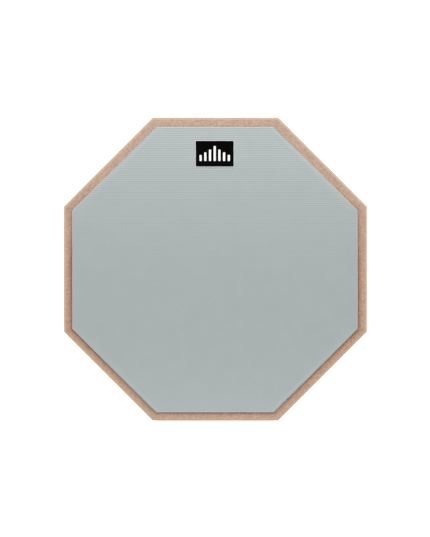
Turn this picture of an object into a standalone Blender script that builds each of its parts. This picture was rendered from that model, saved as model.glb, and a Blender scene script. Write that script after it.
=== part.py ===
"""Octagonal drum practice pad: a fluted grey rubber playing face and a black foam
underside glued to an MDF board, with a small raised badge near the far edge.

Metres, +Z up. The origin is the middle of the bounding box's base. +Y points from the
middle of the pad towards the badge and +X to its right.
"""

import math

import bmesh
import bpy
from mathutils import Matrix, Vector

MM = 0.001
SIDES = 8

# Board: twelve inches across flats, cut from 12 mm MDF
BOARD_ACROSS = 304.8 * MM
BOARD_THICK = 12.0 * MM
BOARD_CHAMFER = 1.6 * MM

# Playing rubber: glued on by hand, so it sits a little off the board's middle
RUBBER_ACROSS = 286.0 * MM
RUBBER_THICK = 3.0 * MM
RUBBER_ROUND = 0.5 * MM
RUBBER_CENTRE = (-0.45 * MM, -0.7 * MM)

# Foam underside: the second face, which also keeps the pad from sliding
FOAM_ACROSS = 286.0 * MM
FOAM_THICK = 5.0 * MM
FOAM_ROUND = 0.8 * MM

# Adhesive film under each face, trimmed just inside the sheet that it holds
FILM_THICK = 0.2 * MM
FILM_INSET = 1.0 * MM

# Badge: a light carrier film, a black plate with a raised rim, and raised white bars
BADGE_CENTRE = (-0.7 * MM, 115.4 * MM)
CARRIER_SIZE = (39.5 * MM, 27.1 * MM)
CARRIER_THICK = 0.25 * MM
PLATE_SIZE = (37.9 * MM, 25.5 * MM)
PLATE_THICK = 0.8 * MM
PLATE_RIM_WIDTH = 1.1 * MM
PLATE_RIM_HEIGHT = 0.3 * MM
PLATE_RIM_SLOPE = 0.15 * MM
PLATE_CORNER = 0.7 * MM
PLATE_RIM_CORNER = 0.4 * MM
BAR_HEIGHTS = [step * MM for step in (6.0, 8.6, 11.4, 15.0, 11.4, 8.6, 6.0)]
BAR_WIDTH = 2.2 * MM
BAR_PITCH = 4.7 * MM
BAR_THICK = 0.3 * MM
BAR_CORNER = 0.6 * MM
BAR_FOOT = 5.3 * MM  # from the plate's near edge up to the foot of every bar

CONTACT_GAP = 0.1 * MM  # kept between pieces that touch on the real pad
CORNER_STEPS = 4


def clear_scene():
    for obj in list(bpy.data.objects):
        bpy.data.objects.remove(obj, do_unlink=True)


def finish(name, colour, roughness, metallic=0.0):
    """A Principled material with one plain colour."""
    material = bpy.data.materials.new(name)
    material.use_nodes = True
    shader = material.node_tree.nodes["Principled BSDF"]
    shader.inputs["Base Color"].default_value = (*colour, 1.0)
    shader.inputs["Roughness"].default_value = roughness
    shader.inputs["Metallic"].default_value = metallic
    material.diffuse_color = (*colour, 1.0)
    return material


def octagon(bm, across):
    """A flat octagon at z = 0 with two of its sides parallel to X."""
    radius = across / 2 / math.cos(math.pi / SIDES)
    turn = Matrix.Rotation(math.pi / SIDES, 4, "Z")
    bmesh.ops.create_circle(bm, cap_ends=True, segments=SIDES, radius=radius, matrix=turn)


def rounded_ring(bm, size, corner, z):
    """A closed run of vertices at height z: a rectangle with an arc at each corner."""
    ring = []
    for quarter in range(4):
        side_x = 1 if quarter in (0, 3) else -1
        side_y = 1 if quarter in (0, 1) else -1
        for step in range(CORNER_STEPS + 1):
            angle = math.pi / 2 * (quarter + step / CORNER_STEPS)
            x = side_x * (size[0] / 2 - corner) + corner * math.cos(angle)
            y = side_y * (size[1] / 2 - corner) + corner * math.sin(angle)
            ring.append(bm.verts.new((x, y, z)))
    return ring


def loft(bm, rings):
    """Joins each ring to the next with quads, and closes the first and the last."""
    for lower, upper in zip(rings, rings[1:]):
        for index, vert in enumerate(lower):
            after = (index + 1) % len(lower)
            bm.faces.new((vert, lower[after], upper[after], upper[index]))
    bm.faces.new(rings[0])
    bm.faces.new(rings[-1])
    bmesh.ops.recalc_face_normals(bm, faces=bm.faces)


def block(bm, size, corner, thickness):
    """A flat block with rounded corners, from z = 0 up."""
    loft(bm, [rounded_ring(bm, size, corner, z) for z in (0.0, thickness)])


def thicken(bm, thickness):
    """Extrudes the flat octagon upwards."""
    raised = bmesh.ops.extrude_face_region(bm, geom=list(bm.faces))["geom"]
    verts = [item for item in raised if isinstance(item, bmesh.types.BMVert)]
    bmesh.ops.translate(bm, vec=Vector((0.0, 0.0, thickness)), verts=verts)
    bmesh.ops.recalc_face_normals(bm, faces=bm.faces)


def rim_edges(bm, heights):
    """The horizontal edges that lie at any of these heights."""
    tolerance = 0.001 * MM
    return [
        edge
        for edge in bm.edges
        if any(all(abs(vert.co.z - z) < tolerance for vert in edge.verts) for z in heights)
    ]


def soften(bm, edges, width, steps):
    bmesh.ops.bevel(
        bm,
        geom=edges,
        offset=width,
        offset_type="OFFSET",
        affect="EDGES",
        segments=steps,
        profile=0.5,
    )


def add_piece(name, bm, place, material):
    """Turns the bmesh into an object of this name, standing at place."""
    mesh = bpy.data.meshes.new(name)
    bm.to_mesh(mesh)
    bm.free()
    mesh.materials.append(material)
    mesh.shade_smooth()
    mesh.set_sharp_from_angle(angle=math.radians(30))
    piece = bpy.data.objects.new(name, mesh)
    piece.location = place
    bpy.context.scene.collection.objects.link(piece)
    return piece


def add_board(base_z):
    bm = bmesh.new()
    octagon(bm, BOARD_ACROSS)
    thicken(bm, BOARD_THICK)
    soften(bm, rim_edges(bm, (0.0, BOARD_THICK)), BOARD_CHAMFER, 1)
    material = finish("raw_mdf", (0.46, 0.33, 0.24), 0.8)
    add_piece("baseboard", bm, (0.0, 0.0, base_z), material)


def add_sheet(name, across, thickness, rounding, place, material):
    """An octagonal sheet whose upper and lower rims are rounded over."""
    bm = bmesh.new()
    octagon(bm, across)
    thicken(bm, thickness)
    soften(bm, rim_edges(bm, (0.0, thickness)), rounding, 2)
    add_piece(name, bm, place, material)


def add_film(name, across, place, material):
    bm = bmesh.new()
    octagon(bm, across - 2 * FILM_INSET)
    thicken(bm, FILM_THICK)
    add_piece(name, bm, place, material)


def add_carrier(base_z):
    bm = bmesh.new()
    block(bm, CARRIER_SIZE, PLATE_CORNER, CARRIER_THICK)
    material = finish("pale_vinyl", (0.61, 0.65, 0.66), 0.5)
    add_piece("badge_carrier", bm, (*BADGE_CENTRE, base_z), material)


def add_plate(base_z):
    """A thin plate whose middle is sunk, which leaves a raised rim all round."""
    bm = bmesh.new()
    rim = [side - 2 * PLATE_RIM_WIDTH for side in PLATE_SIZE]
    floor = [side - 2 * PLATE_RIM_SLOPE for side in rim]
    rings = [
        rounded_ring(bm, PLATE_SIZE, PLATE_CORNER, 0.0),
        rounded_ring(bm, PLATE_SIZE, PLATE_CORNER, PLATE_THICK),
        rounded_ring(bm, rim, PLATE_RIM_CORNER, PLATE_THICK),
        rounded_ring(bm, floor, PLATE_RIM_CORNER, PLATE_THICK - PLATE_RIM_HEIGHT),
    ]
    loft(bm, rings)
    material = finish("black_pvc", (0.003, 0.003, 0.003), 0.3)
    add_piece("badge_plate", bm, (*BADGE_CENTRE, base_z), material)


def add_bars(base_z):
    """A row of upright bars that stand on one line, rising to the middle one."""
    material = finish("white_pvc", (0.85, 0.85, 0.85), 0.5)
    middle = (len(BAR_HEIGHTS) - 1) / 2
    foot = BADGE_CENTRE[1] - PLATE_SIZE[1] / 2 + BAR_FOOT
    for index, height in enumerate(BAR_HEIGHTS):
        bm = bmesh.new()
        block(bm, (BAR_WIDTH, height), BAR_CORNER, BAR_THICK)
        x = BADGE_CENTRE[0] + (index - middle) * BAR_PITCH
        add_piece(f"badge_bar_{index + 1}", bm, (x, foot + height / 2, base_z), material)


def main():
    clear_scene()
    glue = finish("clear_adhesive", (0.62, 0.60, 0.52), 0.4)
    foam = finish("black_eva_foam", (0.018, 0.018, 0.019), 0.9)
    rubber = finish("grey_rubber", (0.34, 0.37, 0.37), 0.45)

    add_sheet("underside_pad", FOAM_ACROSS, FOAM_THICK, FOAM_ROUND, (0.0, 0.0, 0.0), foam)
    level = FOAM_THICK + CONTACT_GAP
    add_film("bottom_adhesive", FOAM_ACROSS, (0.0, 0.0, level), glue)
    level += FILM_THICK + CONTACT_GAP
    add_board(level)
    level += BOARD_THICK + CONTACT_GAP
    add_film("top_adhesive", RUBBER_ACROSS, (*RUBBER_CENTRE, level), glue)
    level += FILM_THICK + CONTACT_GAP
    place = (*RUBBER_CENTRE, level)
    add_sheet("playing_surface", RUBBER_ACROSS, RUBBER_THICK, RUBBER_ROUND, place, rubber)
    level += RUBBER_THICK + CONTACT_GAP
    add_carrier(level)
    level += CARRIER_THICK + CONTACT_GAP
    add_plate(level)
    level += PLATE_THICK - PLATE_RIM_HEIGHT + CONTACT_GAP
    add_bars(level)


main()
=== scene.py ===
import math

import bpy
import numpy as np
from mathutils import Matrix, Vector, noise


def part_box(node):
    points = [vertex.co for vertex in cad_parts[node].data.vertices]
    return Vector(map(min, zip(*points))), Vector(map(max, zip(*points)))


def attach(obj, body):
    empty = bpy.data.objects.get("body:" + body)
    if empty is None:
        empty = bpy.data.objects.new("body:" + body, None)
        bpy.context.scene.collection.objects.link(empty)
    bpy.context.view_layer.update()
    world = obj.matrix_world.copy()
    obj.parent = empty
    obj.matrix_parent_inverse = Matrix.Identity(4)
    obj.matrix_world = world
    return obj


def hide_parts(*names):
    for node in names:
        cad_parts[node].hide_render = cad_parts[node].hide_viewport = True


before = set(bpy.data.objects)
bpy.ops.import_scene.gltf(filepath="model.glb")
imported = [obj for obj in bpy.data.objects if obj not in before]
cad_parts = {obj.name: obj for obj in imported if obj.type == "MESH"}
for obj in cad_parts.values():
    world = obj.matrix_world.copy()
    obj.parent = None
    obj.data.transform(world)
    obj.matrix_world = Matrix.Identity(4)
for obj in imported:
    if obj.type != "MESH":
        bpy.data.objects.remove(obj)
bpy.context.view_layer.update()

mm = 0.001
eighth = math.pi / 4  # the turn from one side of an octagon to the next
print("frame loaded:", len(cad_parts), "nodes")


def linear(hexColour):
    # sRGB hex to the linear values that Blender's sockets take
    parts = [int(hexColour[i:i + 2], 16) / 255 for i in (0, 2, 4)]
    lit = [c / 12.92 if c <= 0.04045 else ((c + 0.055) / 1.055) ** 2.4 for c in parts]
    return (*lit, 1.0)


def grain(sizeMm):
    # texture scale for a pattern whose features are this many millimetres across
    return 1000 / sizeMm


def addNode(tree, kind, settings=None, links=None):
    made = tree.nodes.new("ShaderNode" + kind)
    for key, value in (settings or {}).items():
        if isinstance(key, int) or key in made.inputs:
            made.inputs[key].default_value = value
        else:
            setattr(made, key, value)
    for key, source in (links or {}).items():
        tree.links.new(source, made.inputs[key])
    return made


def startMaterial(name, colour, rough, ior, extras=None):
    # returns the material, its tree, its shader and the object coordinates, which are metres
    material = bpy.data.materials.new(name)
    material.use_nodes = True
    material.diffuse_color = linear(colour)
    tree = material.node_tree
    shader = tree.nodes["Principled BSDF"]
    settings = {"Base Color": linear(colour), "Roughness": rough, "IOR": ior, **(extras or {})}
    for key, value in settings.items():
        shader.inputs[key].default_value = value
    place = addNode(tree, "TexCoord").outputs["Object"]
    return material, tree, shader, place


def softBend(before, corner, after, reach, steps=4):
    # the points of a short curve that replaces a sharp corner of a profile
    corner = np.array(corner, float)
    arms = [np.array(end, float) - corner for end in (before, after)]
    start, stop = [corner + arm / np.linalg.norm(arm) * reach for arm in arms]
    bend = []
    for step in range(steps + 1):
        t = step / steps
        bend.append(tuple((1 - t) ** 2 * start + 2 * t * (1 - t) * corner + t ** 2 * stop))
    return bend


def octagonLoop(apothem, corner, perSide, cornerSteps=3):
    # an outline of eight straight sides, counter-clockwise, with a small arc at each corner
    reach = apothem - corner
    points = []
    for side in range(8):
        facing = side * eighth
        across = Vector((math.cos(facing), math.sin(facing)))
        along = Vector((-across.y, across.x))
        half = reach * math.tan(eighth / 2)
        for step in range(perSide + 1):
            points.append(across * apothem + along * half * (2 * step / perSide - 1))
        middle = facing + eighth / 2
        pivot = Vector((math.cos(middle), math.sin(middle))) * reach / math.cos(eighth / 2)
        for step in range(1, cornerSteps):
            turn = facing + eighth * step / cornerSteps
            points.append(pivot + Vector((math.cos(turn), math.sin(turn))) * corner)
    return points


def tileLoop(size, corner, cornerSteps=6):
    # a rectangle's outline, counter-clockwise, with an arc at each corner
    halfX, halfY = size[0] / 2 - corner, size[1] / 2 - corner
    pivots = [(halfX, halfY), (-halfX, halfY), (-halfX, -halfY), (halfX, -halfY)]
    points = []
    for quarter, (x, y) in enumerate(pivots):
        for step in range(cornerSteps + 1):
            turn = math.pi / 2 * (quarter + step / cornerSteps)
            points.append(Vector((x + corner * math.cos(turn), y + corner * math.sin(turn))))
    return points


def loft(rings):
    # vertices and faces of a closed skin through rings of equal length, capped at both ends
    count = len(rings[0])
    verts = [tuple(point) for ring in rings for point in ring]
    faces = [tuple(reversed(range(count)))]
    for level in range(len(rings) - 1):
        for i in range(count):
            j = (i + 1) % count
            a, b = level * count, (level + 1) * count
            faces.append((a + i, a + j, b + j, b + i))
    top = (len(rings) - 1) * count
    faces.append(tuple(range(top, top + count)))
    return verts, faces


def addPiece(name, verts, faces, material, nodes, sharp=40):
    # a finished piece: it rides on the only body and stands for its CAD nodes
    mesh = bpy.data.meshes.new(name)
    mesh.from_pydata(verts, [], faces)
    mesh.validate()
    mesh.materials.append(material)
    mesh.shade_smooth()
    mesh.set_sharp_from_angle(angle=math.radians(sharp))
    piece = bpy.data.objects.new(name, mesh)
    bpy.context.scene.collection.objects.link(piece)
    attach(piece, "root")
    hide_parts(*nodes)
    return piece


def addMeasure(piece, name, values):
    # a number per vertex that a material can read
    layer = piece.data.attributes.new(name, "FLOAT", "POINT")
    layer.data.foreach_set("value", np.asarray(values, np.float32))


def octagonDepth(x, y, centre, apothem):
    # how far inside an octagon's outline each point lies
    reaches = [
        (x - centre.x) * math.cos(side * eighth) + (y - centre.y) * math.sin(side * eighth)
        for side in range(8)
    ]
    return apothem - np.max(reaches, axis=0)


def middleOf(node):
    low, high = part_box(node)
    return (low + high) / 2


# baseboard: an MDF octagon, sawn, routed and sanded, with no finish on it
board = dict(
    # colours: pressed face, its pale and dark fibres, sawn core, sanded arris, and a warm painted shade
    # beside the rubber
    face="a6876d", flake="bb9a83", fibre="8b7158", coreTint="d8bf9c", sanded="c8a487", glue="cf7f35",
    roughness=0.35, edgeRoughness=0.85, gloss=0.9, ior=1.45, arrisShare=0.8,
    fibreWide=0.8, fibreLong=4,  # millimetres, and times as long as wide
    fibreTurns=(0.3, 1.35, 2.4),  # radians
    paleFrom=0.54, paleTo=0.66, darkFrom=0.45, darkTo=0.34,  # peaks and dips of the noise that are fibres
    cloudSize=22, cloudTone=0.07, fuzzShare=0.2, fuzzHeight=0.1 * mm,
    # shape
    corner=0.7 * mm, chamfer=1.6 * mm, arris=0.5 * mm, perSide=150,
    chatter=0.035 * mm, chatterPitch=1.7 * mm, wander=0.18 * mm, wanderPitch=38 * mm,
    coreFrom=3 * mm,  # how deep below either face the core shows its full colour
    cover=14 * mm,  # how far the modelled skin runs in under the sheets before its flat cap
    # painted shade beside the rubber's foot: how far it reaches, where it stops towards the far side, its
    # share along the near edge, and the rings of points that carry it
    shadeWidth=5 * mm, unshadedFrom=0.6, nearShade=0.45,
    shadeRings=(3, 4, 5, 6, 7, 7.5, 8, 8.5, 9, 9.5, 10, 10.5),  # millimetres in from the edge
)


def rawMdf():
    # MDF, pressed and left raw: a felt of pale and dark fibres, a paler sanded arris, a browner core, and
    # painted shade beside the rubber
    gloss = {"Specular IOR Level": board["gloss"]}
    material, tree, shader, place = startMaterial(
        "rawPressedMdf", board["face"], board["roughness"], board["ior"], gloss
    )
    # fibres lie every way in the sheet; real ones are 0.1 mm wide, these are drawn coarser to show
    palest, darkest = None, None
    for turn in board["fibreTurns"]:
        laid = addNode(
            tree, "Mapping",
            {"vector_type": "TEXTURE", "Rotation": (0, 0, turn), "Scale": (1, board["fibreLong"], 1)},
            {"Vector": place},
        )
        streaks = addNode(
            tree, "TexNoise", {"Scale": grain(board["fibreWide"]), "Detail": 3, "Roughness": 0.65},
            {"Vector": laid.outputs[0]},
        ).outputs[0]
        if palest is None:
            palest, darkest = streaks, streaks
        else:
            higher = addNode(tree, "Math", {"operation": "MAXIMUM"}, {0: palest, 1: streaks})
            lower = addNode(tree, "Math", {"operation": "MINIMUM"}, {0: darkest, 1: streaks})
            palest, darkest = higher.outputs[0], lower.outputs[0]
    cloud = addNode(
        tree, "TexNoise", {"Scale": grain(board["cloudSize"]), "Detail": 2}, {"Vector": place}
    )
    pale = addNode(
        tree, "MapRange", {"From Min": board["paleFrom"], "From Max": board["paleTo"]}, {"Value": palest}
    )
    dark = addNode(
        tree, "MapRange", {"From Min": board["darkFrom"], "From Max": board["darkTo"]}, {"Value": darkest}
    )
    base = addNode(
        tree, "Mix", {"data_type": "RGBA", 6: linear(board["face"]), 7: linear(board["flake"])},
        {0: pale.outputs[0]},
    )
    speck = addNode(
        tree, "Mix", {"data_type": "RGBA", 7: linear(board["fibre"])},
        {0: dark.outputs[0], 6: base.outputs[2]},
    )
    tone = addNode(
        tree, "MapRange", {"To Min": 1 - board["cloudTone"], "To Max": 1 + board["cloudTone"]},
        {"Value": cloud.outputs[0]},
    )
    toned = addNode(
        tree, "VectorMath", {"operation": "SCALE"}, {0: speck.outputs[2], "Scale": tone.outputs[0]}
    )
    # routed sides show the browner core, and the arris is sanded pale
    depth = addNode(tree, "Attribute", {"attribute_name": "coreDepth"}).outputs["Fac"]
    sides = addNode(
        tree, "Mix", {"data_type": "RGBA", "blend_type": "MULTIPLY", 7: linear(board["coreTint"])},
        {0: depth, 6: toned.outputs[0]},
    )
    arris = addNode(tree, "Attribute", {"attribute_name": "arrisWear"}).outputs["Fac"]
    wear = addNode(tree, "MapRange", {"To Max": board["arrisShare"]}, {"Value": arris})
    edgeWearOrGleam = addNode(
        tree, "Mix", {"data_type": "RGBA", 7: linear(board["sanded"])},
        {0: wear.outputs[0], 6: sides.outputs[2]},
    )
    # painted shade: the board is darkened warm beside the rubber's foot, where the rubber's shadow falls
    footShadeMask = addNode(tree, "Attribute", {"attribute_name": "glueStain"}).outputs["Fac"]
    footShaded = addNode(
        tree, "Mix", {"data_type": "RGBA", "blend_type": "MULTIPLY", 7: linear(board["glue"])},
        {0: footShadeMask, 6: edgeWearOrGleam.outputs[2]},
    )
    tree.links.new(footShaded.outputs[2], shader.inputs["Base Color"])
    # the pressed face is burnished, the routed edge is fuzzy
    spread = addNode(
        tree, "MapRange", {"To Min": board["roughness"], "To Max": board["edgeRoughness"]},
        {"Value": depth},
    )
    tree.links.new(spread.outputs[0], shader.inputs["Roughness"])
    fuzz = addNode(
        tree, "Bump", {"Strength": board["fuzzShare"], "Distance": board["fuzzHeight"]}, {"Height": palest}
    )
    tree.links.new(fuzz.outputs[0], shader.inputs["Normal"])
    return material


def makeBoard():
    low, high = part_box("baseboard")
    centre, apothem, thick = (low + high) / 2, (high.x - low.x) / 2, high.z - low.z
    cut, reach = board["chamfer"], board["arris"]
    inner = (board["cover"], 0.0)
    profile = [inner]
    profile += softBend(inner, (cut, 0.0), (0.0, cut), reach)
    profile += softBend((cut, 0.0), (0.0, cut), (0.0, thick - cut), reach)
    profile += [(0.0, cut + (thick - 2 * cut) * share) for share in (0.25, 0.5, 0.75)]
    profile += softBend((0.0, cut), (0.0, thick - cut), (cut, thick), reach)
    profile += softBend((0.0, thick - cut), (cut, thick), (board["cover"], thick), reach)
    # rings of points that carry the painted shade beside the rubber
    profile += [(inset * mm, thick) for inset in board["shadeRings"]]
    profile += [(board["cover"], thick)]
    rings, core, wear = [], [], []
    for inset, z in profile:
        ring = []
        corner = max(board["corner"] - inset, 0.05 * mm)
        for flat in octagonLoop(apothem - inset, corner, board["perSide"]):
            spot = Vector((flat.x, flat.y, 0.0))
            outward = spot.normalized()
            drift = noise.noise(spot / board["wanderPitch"]) * board["wander"]
            onArris = 1 - min(1, abs(min(z, thick - z) + inset - cut) / cut)
            chatter = noise.noise(Vector((flat.x, flat.y, z * 0.15)) / board["chatterPitch"])
            move = drift * onArris * (1 if inset > 0 else 0)
            if 0 < z < thick:
                move -= board["chatter"] * (0.5 + 0.5 * chatter)
            middle = Vector((centre.x, centre.y, low.z))
            ring.append(Vector((flat.x, flat.y, z)) + outward * move + middle)
            onSide = 1 - min(1, inset / (0.5 * mm))
            core.append(onSide * min(1, min(z, thick - z) / board["coreFrom"]))
            wear.append(onArris ** 2)
        rings.append(ring)
    verts, faces = loft(rings)
    piece = addPiece("mdfBoard", verts, faces, rawMdf(), ["baseboard"])
    spots = np.array([tuple(v) for v in verts])
    rubberMiddle, rubberApothem = middleOf("playing_surface"), faceApothem("playing_surface")
    outside = -octagonDepth(spots[:, 0], spots[:, 1], rubberMiddle, rubberApothem)
    addMeasure(piece, "coreDepth", core)
    addMeasure(piece, "arrisWear", wear)
    # painted shade: a warm darker band beside the rubber's foot, full at the pad's sides, weaker along the
    # near edge and none on the far ones, which face the light
    flat = spots[:, :2] - np.array(rubberMiddle.xy)
    facing = flat[:, 1] / np.hypot(flat[:, 0], flat[:, 1])
    shadeBySide = np.interp(facing, (-1, 0, board["unshadedFrom"]), (board["nearShade"], 1, 0))
    onTop = spots[:, 2] > centre.z
    footShadeShare = np.clip(1 - outside / board["shadeWidth"], 0, 1) * shadeBySide * onTop
    addMeasure(piece, "glueStain", footShadeShare)


def faceApothem(node):
    low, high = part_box(node)
    return (high.x - low.x) / 2


makeBoard()
print("board made")


# playing face: calendered rubber sheet with fine flutes, cut out with a knife

rubber = dict(
    # the last colour is a painted highlight for the cut edge
    colour="99a1a1", dark="98a0a0", pale="9aa2a2", edgeWearOrGleam="a9b1b4",
    roughness=0.25, gloss=0.7, ior=1.52,
    mottleSize=14, speckSize=0.7, speckTone=0.06,  # sizes in millimetres
    skinShare=0.2, skinHeight=0.05 * mm,
    # shape
    flutes=130, grooveDepth=0.04 * mm, rowsPerFlute=8, columns=24,
    edgeSteps=(0.0, 0.08, 0.2, 0.35, 0.8, 1.2),  # millimetres in from the cut, where points are added
    edgeRound=0.35 * mm, wallRings=5, wallBow=0.1 * mm, sag=0.04 * mm, sagPitch=60 * mm,
    footSink=0.1 * mm,  # the sheet is pressed this far down towards its glue
    # wear
    gleamWidth=1.2 * mm, sheenAndShade=0.12,  # painted highlight on the cut edge, painted sheen and shade on the ribs, and rib wear
    wornDepth=0.6,  # the painted rib sheen and groove shade is a share of the tone
    ribFadeBelow=-0.45,  # share of the way from the middle to the far edge, where the painted rib sheen and shade run out and the ribs are worn most
)


def flutedRubber():
    # grey nitrile rubber, calendered: matt with a faint soft sheen, fine filler specks
    gloss = {"Specular IOR Level": rubber["gloss"]}
    material, tree, shader, place = startMaterial(
        "calenderedGreyRubber", rubber["colour"], rubber["roughness"], rubber["ior"], gloss
    )
    mottle = addNode(
        tree, "TexNoise", {"Scale": grain(rubber["mottleSize"]), "Detail": 3}, {"Vector": place}
    )
    speck = addNode(
        tree, "TexNoise", {"Scale": grain(rubber["speckSize"]), "Detail": 2}, {"Vector": place}
    )
    share = addNode(
        tree, "MapRange", {"From Min": 0.3, "From Max": 0.7}, {"Value": mottle.outputs[0]}
    )
    tint = addNode(
        tree, "Mix", {"data_type": "RGBA", 6: linear(rubber["dark"]), 7: linear(rubber["pale"])},
        {0: share.outputs[0]},
    )
    # painted highlight: a paler line along the cut edge, where the edge catches the light
    edgeGleamMask = addNode(tree, "Attribute", {"attribute_name": "edgeGleam"}).outputs["Fac"]
    cut = addNode(
        tree, "Mix", {"data_type": "RGBA", 7: linear(rubber["edgeWearOrGleam"])}, {0: edgeGleamMask, 6: tint.outputs[2]}
    )
    # painted sheen on the rib crests and painted shade in the grooves, strongest at the badge's edge and
    # fading out below the middle
    ribs = addNode(tree, "Attribute", {"attribute_name": "ribSheenAndShade"}).outputs["Fac"]
    ribLitShaded = addNode(
        tree, "MapRange",
        {"From Min": -1, "From Max": 1, "To Min": 1 - rubber["sheenAndShade"], "To Max": 1 + rubber["sheenAndShade"]},
        {"Value": ribs},
    )
    ribbed = addNode(
        tree, "VectorMath", {"operation": "SCALE"}, {0: cut.outputs[2], "Scale": ribLitShaded.outputs[0]}
    )
    fine = addNode(
        tree, "MapRange", {"To Min": 1 - rubber["speckTone"], "To Max": 1 + rubber["speckTone"]},
        {"Value": speck.outputs[0]},
    )
    toned = addNode(
        tree, "VectorMath", {"operation": "SCALE"}, {0: ribbed.outputs[0], "Scale": fine.outputs[0]}
    )
    tree.links.new(toned.outputs[0], shader.inputs["Base Color"])
    skin = addNode(
        tree, "Bump", {"Strength": rubber["skinShare"], "Distance": rubber["skinHeight"]},
        {"Height": speck.outputs[0]},
    )
    tree.links.new(skin.outputs[0], shader.inputs["Normal"])
    return material


def ribWave(y, start, pitch):
    # 1 on top of a rib and -1 at the bottom of a groove
    return -np.cos((y - start) / pitch * 2 * math.pi)


def ribSheenAndWear(y, apothem):
    # 1 at the badge's edge, falling to 0 below the middle: the painted sheen on the ribs and shade in the
    # grooves fade with it, and the ribs lose depth with it where they are worn most
    return np.clip((y / apothem - rubber["ribFadeBelow"]) / (1 - rubber["ribFadeBelow"]), 0, 1)


def makePlayingFace():
    low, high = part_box("playing_surface")
    centre, apothem = (low + high) / 2, (high.x - low.x) / 2
    pitch = 2 * apothem / rubber["flutes"]
    edgeSteps = np.array(rubber["edgeSteps"]) * mm
    rows = np.linspace(-apothem, apothem, rubber["flutes"] * rubber["rowsPerFlute"] + 1)
    cornerY = apothem * math.tan(eighth / 2)
    rows = np.concatenate([rows, edgeSteps - apothem, apothem - edgeSteps, [cornerY, -cornerY]])
    rows = np.unique(np.round(rows, 8))
    reach = np.minimum(apothem, apothem / math.cos(eighth) - np.abs(rows))
    across = np.linspace(-1, 1, rubber["columns"])
    inner = reach[:, None] * 0.99 * across[None, :]
    left = -reach[:, None] + edgeSteps[None, :]
    x = np.concatenate([left, inner, -left[:, ::-1]], axis=1)
    y = np.repeat(rows[:, None], x.shape[1], axis=1)
    depth = np.maximum(octagonDepth(x, y, Vector((0, 0)), apothem), 0)
    short = np.maximum(rubber["edgeRound"] - depth, 0)
    rounding = rubber["edgeRound"] - np.sqrt(rubber["edgeRound"] ** 2 - short ** 2)
    relief = rubber["grooveDepth"] * (1 - rubber["wornDepth"] * (1 - ribSheenAndWear(y, apothem)))
    z = high.z + relief * (0.5 * ribWave(y, -apothem, pitch) - 0.5) - rounding
    swell = np.sin(x / rubber["sagPitch"] * 3 + 1) * np.cos(y / rubber["sagPitch"] * 2)
    z -= rubber["sag"] * (0.5 + 0.5 * swell)
    rowCount, columnCount = x.shape
    verts = [tuple(p) for p in np.stack([x + centre.x, y + centre.y, z], axis=-1).reshape(-1, 3)]
    faces = []
    for row in range(rowCount - 1):
        for column in range(columnCount - 1):
            a = row * columnCount + column
            faces.append((a, a + 1, a + columnCount + 1, a + columnCount))
    last = columnCount - 1
    rim = list(range(columnCount))
    rim += [row * columnCount + last for row in range(1, rowCount)]
    rim += [(rowCount - 1) * columnCount + column for column in range(last - 1, -1, -1)]
    rim += [row * columnCount for row in range(rowCount - 2, 0, -1)]
    above = rim
    foot = low.z - rubber["footSink"]
    for level in range(1, rubber["wallRings"] + 1):
        share = level / rubber["wallRings"]
        bow = rubber["wallBow"] * math.sin(share * math.pi)
        ring = []
        for index in rim:
            top = Vector(verts[index])
            flat = Vector((top.x - centre.x, top.y - centre.y, 0.0)).normalized()
            ring.append(len(verts))
            verts.append(tuple(top + Vector((0, 0, (foot - top.z) * share)) - flat * bow))
        for i in range(len(rim)):
            j = (i + 1) % len(rim)
            faces.append((above[j], above[i], ring[i], ring[j]))
        above = ring
    faces.append(tuple(reversed(above)))
    piece = addPiece(
        "rubberFace", verts, faces, flutedRubber(), ["playing_surface"], sharp=50
    )
    spots = np.array(verts)
    inside = octagonDepth(spots[:, 0], spots[:, 1], centre, apothem)
    # painted highlight along the cut edge
    addMeasure(piece, "edgeGleam", np.clip(1 - inside / rubber["gleamWidth"], 0, 1))
    y = spots[:, 1] - centre.y
    # painted sheen on the rib crests and painted shade in the grooves, fading from the badge's edge
    # downwards
    addMeasure(piece, "ribSheenAndShade", ribSheenAndWear(y, apothem) * ribWave(y, -apothem, pitch))


makePlayingFace()
print("playing face made")


# underside: closed-cell foam sheet, die-cut

foam = dict(
    # the pit colour is painted shade in the burst cells
    colour="1f1f20", pitShade="121213", roughness=0.9, ior=1.48,
    cellSize=0.9, cloudSize=8, cloudTone=0.2, pitShare=0.6, pitDepth=0.2 * mm,  # sizes in millimetres
    # shape
    corner=2.0 * mm, lip=0.8 * mm, topLip=0.32 * mm, perSide=60, waist=0.25 * mm,
    cover=6 * mm,  # how far the rounded edges run in before the flat caps
    rise=0.1 * mm,  # the foam is pressed this far up towards its glue
)


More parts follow.
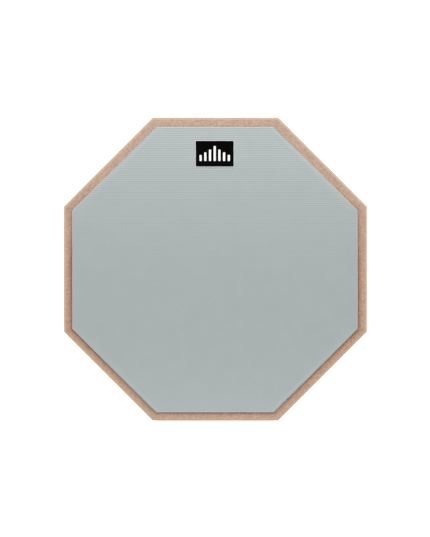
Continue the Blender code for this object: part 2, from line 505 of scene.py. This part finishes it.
def cutFoam():
    # EVA foam, skived and die-cut: deep black, dull, pricked all over with burst cells, drawn coarser,
    # with painted shade in their pits
    material, tree, shader, place = startMaterial(
        "dieCutEvaFoam", foam["colour"], foam["roughness"], foam["ior"]
    )
    cells = addNode(tree, "TexVoronoi", {"Scale": grain(foam["cellSize"])}, {"Vector": place})
    cloud = addNode(
        tree, "TexNoise", {"Scale": grain(foam["cloudSize"]), "Detail": 3}, {"Vector": place}
    )
    burst = addNode(
        tree, "MapRange", {"From Min": 0.15, "From Max": 0.45}, {"Value": cells.outputs["Distance"]}
    )
    # painted shade: the burst cells' pits darker than the foam's face
    tint = addNode(
        tree, "Mix", {"data_type": "RGBA", 6: linear(foam["pitShade"]), 7: linear(foam["colour"])},
        {0: burst.outputs[0]},
    )
    tone = addNode(
        tree, "MapRange", {"To Min": 1 - foam["cloudTone"], "To Max": 1 + foam["cloudTone"]},
        {"Value": cloud.outputs[0]},
    )
    toned = addNode(
        tree, "VectorMath", {"operation": "SCALE"}, {0: tint.outputs[2], "Scale": tone.outputs[0]}
    )
    tree.links.new(toned.outputs[0], shader.inputs["Base Color"])
    pricked = addNode(
        tree, "Bump", {"Strength": foam["pitShare"], "Distance": foam["pitDepth"]},
        {"Height": burst.outputs[0]},
    )
    tree.links.new(pricked.outputs[0], shader.inputs["Normal"])
    return material


def makeUnderside():
    low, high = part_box("underside_pad")
    centre, apothem, thick = (low + high) / 2, (high.x - low.x) / 2, high.z - low.z + foam["rise"]
    cover = foam["cover"]
    profile = [(cover, 0.0)]
    profile += softBend((cover, 0.0), (0.0, 0.0), (0.0, thick), foam["lip"], 5)
    for share in (0.35, 0.5, 0.65):
        profile.append((foam["waist"] * math.sin(math.pi * share), thick * share))
    profile += softBend((0.0, 0.0), (0.0, thick), (cover, thick), foam["topLip"], 3)
    profile += [(cover, thick)]
    rings = []
    for inset, z in profile:
        corner = max(foam["corner"] - inset, 0.05 * mm)
        loop = octagonLoop(apothem - inset, corner, foam["perSide"], 5)
        rings.append([Vector((p.x + centre.x, p.y + centre.y, low.z + z)) for p in loop])
    verts, faces = loft(rings)
    piece = addPiece("foamUnderside", verts, faces, cutFoam(), ["underside_pad"])


makeUnderside()
print("underside made")


# glue lines: contact adhesive film, trimmed by hand, so its edge wanders

glueLine = dict(
    colour="b99a5e", roughness=0.35, ior=1.5,
    lumpSize=3, thin=0.75, thick=1.2,  # millimetres, and shares of the tone
    corner=1 * mm, perSide=70, wobble=0.35 * mm, wobblePitch=7 * mm,
)


def contactAdhesive():
    # contact adhesive, dried: amber, slightly glossy and lumpy
    material, tree, shader, place = startMaterial(
        "driedContactAdhesive", glueLine["colour"], glueLine["roughness"], glueLine["ior"]
    )
    lumps = addNode(
        tree, "TexNoise", {"Scale": grain(glueLine["lumpSize"]), "Detail": 2}, {"Vector": place}
    )
    tone = addNode(
        tree, "MapRange", {"To Min": glueLine["thin"], "To Max": glueLine["thick"]},
        {"Value": lumps.outputs[0]},
    )
    tint = addNode(
        tree, "VectorMath", {"operation": "SCALE", 0: linear(glueLine["colour"])[:3]},
        {"Scale": tone.outputs[0]},
    )
    tree.links.new(tint.outputs[0], shader.inputs["Base Color"])
    return material


def makeGlueLines():
    material = contactAdhesive()
    for name, node in (("rubberGlue", "top_adhesive"), ("foamGlue", "bottom_adhesive")):
        low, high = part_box(node)
        centre, apothem = (low + high) / 2, (high.x - low.x) / 2
        outline = []
        for flat in octagonLoop(apothem, glueLine["corner"], glueLine["perSide"]):
            spot = Vector((flat.x, flat.y, high.z))
            wander = noise.noise(spot / glueLine["wobblePitch"]) * glueLine["wobble"]
            outline.append(spot + spot.xy.normalized().to_3d() * wander)
        rings = []
        for z in (low.z, high.z):
            rings.append([Vector((p.x + centre.x, p.y + centre.y, z)) for p in outline])
        verts, faces = loft(rings)
        addPiece(name, verts, faces, material, [node])


makeGlueLines()
print("glue lines made")


# badge: pale carrier film, black moulded plate with a raised rim, white bars

badge = dict(
    film="c9d0d2", filmRoughness=0.4, filmHaze=(0.34, 0.5), hazeSize=4,
    black="020202", blackRoughness=0.55, blackGloss=0.02,
    white="f2f2f0", whiteRoughness=0.4,
    ior=1.53,  # both vinyl film and moulded PVC
    sparkSize=0.35, sparkShare=0.25, sparkHeight=0.03 * mm, scuffSize=6, scuffSpread=0.08,
    # shape
    filmCorner=0.7 * mm, filmSoften=0.08 * mm, plateCorner=0.7 * mm, rimWidth=1.1 * mm, rimDrop=0.3 * mm,
    soften=0.12 * mm, barCorner=0.6 * mm,
)


def castFilm():
    # pale vinyl film, cast: smooth satin with a faint haze
    material, tree, shader, place = startMaterial(
        "castPaleVinyl", badge["film"], badge["filmRoughness"], badge["ior"]
    )
    haze = addNode(
        tree, "TexNoise", {"Scale": grain(badge["hazeSize"]), "Detail": 2}, {"Vector": place}
    )
    clear, hazy = badge["filmHaze"]
    spread = addNode(tree, "MapRange", {"To Min": clear, "To Max": hazy}, {"Value": haze.outputs[0]})
    tree.links.new(spread.outputs[0], shader.inputs["Roughness"])
    return material


def mouldedPvc(name, colour, rough, extras=None):
    # soft PVC, poured into a mould: even colour, satin, with a fine spark-eroded grain
    material, tree, shader, place = startMaterial(name, colour, rough, badge["ior"], extras)
    spark = addNode(
        tree, "TexNoise", {"Scale": grain(badge["sparkSize"]), "Detail": 2}, {"Vector": place}
    )
    scuffs = addNode(
        tree, "TexNoise", {"Scale": grain(badge["scuffSize"]), "Detail": 3}, {"Vector": place}
    )
    spread = addNode(
        tree, "MapRange",
        {"To Min": rough - badge["scuffSpread"], "To Max": rough + badge["scuffSpread"]},
        {"Value": scuffs.outputs[0]},
    )
    tree.links.new(spread.outputs[0], shader.inputs["Roughness"])
    skin = addNode(
        tree, "Bump", {"Strength": badge["sparkShare"], "Distance": badge["sparkHeight"]},
        {"Height": spark.outputs[0]},
    )
    tree.links.new(skin.outputs[0], shader.inputs["Normal"])
    return material


def tileRings(middle, size, corner, profile):
    # rings for a flat rounded tile: each profile point is an inset and a height
    rings = []
    for inset, z in profile:
        loop = tileLoop((size.x - 2 * inset, size.y - 2 * inset), max(corner - inset, 0.05 * mm))
        rings.append([Vector((p.x + middle.x, p.y + middle.y, z)) for p in loop])
    return rings


def roundedEdge(size, bottom, top, soften):
    # a tile's profile: square foot, rounded upper edge
    profile = [(0.0, bottom)]
    profile += softBend((0.0, bottom), (0.0, top), (size.x / 2, top), soften)
    return profile


def makeBadge():
    low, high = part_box("badge_carrier")
    profile = roundedEdge(high - low, low.z, high.z, badge["filmSoften"])
    verts, faces = loft(tileRings((low + high) / 2, high - low, badge["filmCorner"], profile))
    addPiece("badgeFilm", verts, faces, castFilm(), ["badge_carrier"])

    low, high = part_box("badge_plate")
    size, soften, rim, drop = high - low, badge["soften"], badge["rimWidth"], badge["rimDrop"]
    profile = roundedEdge(size, low.z, high.z, soften)
    profile += softBend((0.0, high.z), (rim, high.z), (rim, high.z - drop), soften)
    profile += softBend((rim, high.z), (rim, high.z - drop), (size.x / 2, high.z - drop), soften)
    verts, faces = loft(tileRings((low + high) / 2, size, badge["plateCorner"], profile))
    gloss = {"Specular IOR Level": badge["blackGloss"]}
    black = mouldedPvc("pouredBlackPvc", badge["black"], badge["blackRoughness"], gloss)
    addPiece("badgePlate", verts, faces, black, ["badge_plate"])

    white = mouldedPvc("pouredWhitePvc", badge["white"], badge["whiteRoughness"])
    bars = sorted(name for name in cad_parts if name.startswith("badge_bar_"))
    for index, node in enumerate(bars):
        low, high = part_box(node)
        profile = roundedEdge(high - low, low.z, high.z, badge["soften"])
        verts, faces = loft(tileRings((low + high) / 2, high - low, badge["barCorner"], profile))
        addPiece(f"badgeBar{index + 1}", verts, faces, white, [node])


makeBadge()
print("badge made")


# studio: pale floor, a broad soft light from the badge's side, weak light from all round

studio = dict(
    floor="f4f4f3", roughness=0.85, roughSpread=(0.8, 0.9), ior=1.5, stippleSize=9,  # millimetres
    nearGlow=0.62, farGlow=1.15, glowFrom=0.4, glowTo=2.2,  # strengths, and metres from the pad
    floorRadius=6.0, floorPoints=96, world="ffffff", ambience=0.17,
    keyPlace=(0.0, 1.36, 2.67), keySize=(5.4, 1.95), keyPower=130,
    fillPlace=(0.0, -0.5, 1.0), fillSize=(0.8, 0.4), fillPower=3,
)


def paintedFloor():
    # matt white painted board: even, with a trace of roller stipple
    material, tree, shader, place = startMaterial(
        "rolledWhitePaint", studio["floor"], studio["roughness"], studio["ior"]
    )
    stipple = addNode(
        tree, "TexNoise", {"Scale": grain(studio["stippleSize"]), "Detail": 2}, {"Vector": place}
    )
    smooth, coarse = studio["roughSpread"]
    spread = addNode(tree, "MapRange", {"To Min": smooth, "To Max": coarse}, {"Value": stipple.outputs[0]})
    tree.links.new(spread.outputs[0], shader.inputs["Roughness"])
    # lit from below, more so away from the pad, so that the far floor stays white
    reach = addNode(tree, "VectorMath", {"operation": "LENGTH"}, {0: place})
    glow = addNode(
        tree, "MapRange",
        {
            "From Min": studio["glowFrom"], "From Max": studio["glowTo"],
            "To Min": studio["nearGlow"], "To Max": studio["farGlow"],
        },
        {"Value": reach.outputs["Value"]},
    )
    shader.inputs["Emission Color"].default_value = linear(studio["floor"])
    tree.links.new(glow.outputs[0], shader.inputs["Emission Strength"])
    return material


def makeFloor():
    radius, count = studio["floorRadius"], studio["floorPoints"]
    turns = [math.tau * i / count for i in range(count)]
    rim = [(radius * math.cos(turn), radius * math.sin(turn), 0) for turn in turns]
    mesh = bpy.data.meshes.new("studioFloor")
    mesh.from_pydata(rim, [], [tuple(range(count))])
    mesh.materials.append(paintedFloor())
    floor = bpy.data.objects.new("studioFloor", mesh)
    bpy.context.scene.collection.objects.link(floor)


def addSoftLight(name, place, size, power, target):
    lamp = bpy.data.lights.new(name, "AREA")
    lamp.shape = "RECTANGLE"
    lamp.size, lamp.size_y = size
    lamp.energy = power
    light = bpy.data.objects.new(name, lamp)
    light.location = place
    light.rotation_euler = (target - Vector(place)).to_track_quat("-Z", "Y").to_euler()
    light.visible_camera = False
    bpy.context.scene.collection.objects.link(light)


def makeStudio():
    makeFloor()
    target = Vector((0, 0, 0.02))
    addSoftLight("keySoftbox", studio["keyPlace"], studio["keySize"], studio["keyPower"], target)
    addSoftLight("fillSoftbox", studio["fillPlace"], studio["fillSize"], studio["fillPower"], target)
    world = bpy.data.worlds.new("studioWorld")
    world.use_nodes = True
    sky = world.node_tree.nodes["Background"]
    sky.inputs["Color"].default_value = linear(studio["world"])
    # the backdrop reads as white, and lights the pad only weakly
    seen = addNode(world.node_tree, "LightPath").outputs["Is Camera Ray"]
    glow = addNode(
        world.node_tree, "MapRange", {"To Min": studio["ambience"], "To Max": 1.0}, {"Value": seen}
    )
    world.node_tree.links.new(glow.outputs[0], sky.inputs["Strength"])
    bpy.context.scene.world = world
    bpy.context.scene.view_settings.view_transform = "Standard"


makeStudio()


# camera: square above the pad, with the badge at the top of the picture

camera = dict(
    lens=85, sensor=36,
    viewHeight=539.9 * mm,  # what the picture's long side takes in at the board's widest level
    aside=(-0.41 * mm, 0.4 * mm),  # off the middle, to the left and up
)


def makeCamera():
    lens = bpy.data.cameras.new("camera")
    lens.lens, lens.sensor_width = camera["lens"], camera["sensor"]
    eye = bpy.data.objects.new("camera", lens)
    away = camera["viewHeight"] * camera["lens"] / camera["sensor"]
    eye.location = (*camera["aside"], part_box("baseboard")[1].z - board["chamfer"] + away)
    bpy.context.scene.collection.objects.link(eye)
    bpy.context.scene.camera = eye


makeCamera()
print("studio and camera made")
